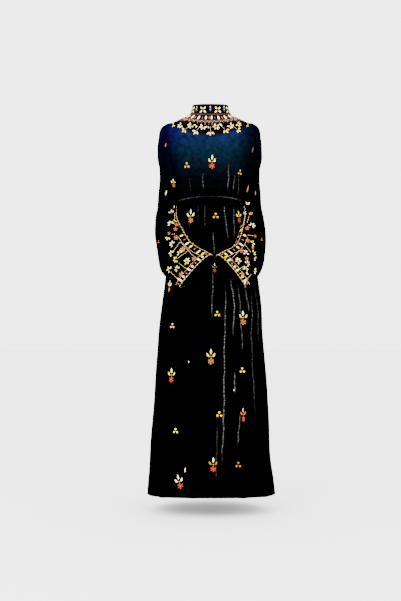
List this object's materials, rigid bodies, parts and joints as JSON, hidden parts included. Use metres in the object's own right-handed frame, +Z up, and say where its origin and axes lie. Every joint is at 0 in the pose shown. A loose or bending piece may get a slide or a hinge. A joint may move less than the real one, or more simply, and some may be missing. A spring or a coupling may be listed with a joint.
{
  "type": "abaya",
  "caption": "Full-length velvet abaya, worn shape and empty: stand collar, embroidered yoke, belted waist, gathered skirt, bent sleeves with wide cuffs.",
  "frame": {"origin": "middle of the neck base between the shoulders, where the garment hangs", "axes": "+Z up along the height, -Y to the front, +X to the wearer's left"},
  "size_m": [0.5106, 0.4648, 1.553],
  "materials": {
    "midnight_velvet": "cut velvet, midnight blue where it catches the light, black elsewhere",
    "black_velvet": "cut velvet, near black, with a soft sheen on its folds",
    "embroidered_band": "velvet band closely embroidered in ivory and gold",
    "closure_cloth": "black satin over a button core, and a rouleau cord"
  },
  "bodies": {
    "root": {"bodice_front": "midnight_velvet", "bodice_back_right": "midnight_velvet", "bodice_back_left": "midnight_velvet", "skirt_front": "black_velvet", "skirt_back_right": "black_velvet", "skirt_back_left": "black_velvet", "sleeve_right_front": "midnight_velvet", "sleeve_right_back": "midnight_velvet", "sleeve_left_front": "midnight_velvet", "sleeve_left_back": "midnight_velvet", "collar": "embroidered_band", "sash": "black_velvet", "collar_button": "closure_cloth", "button_loop": "closure_cloth"}
  },
  "joints": []
}
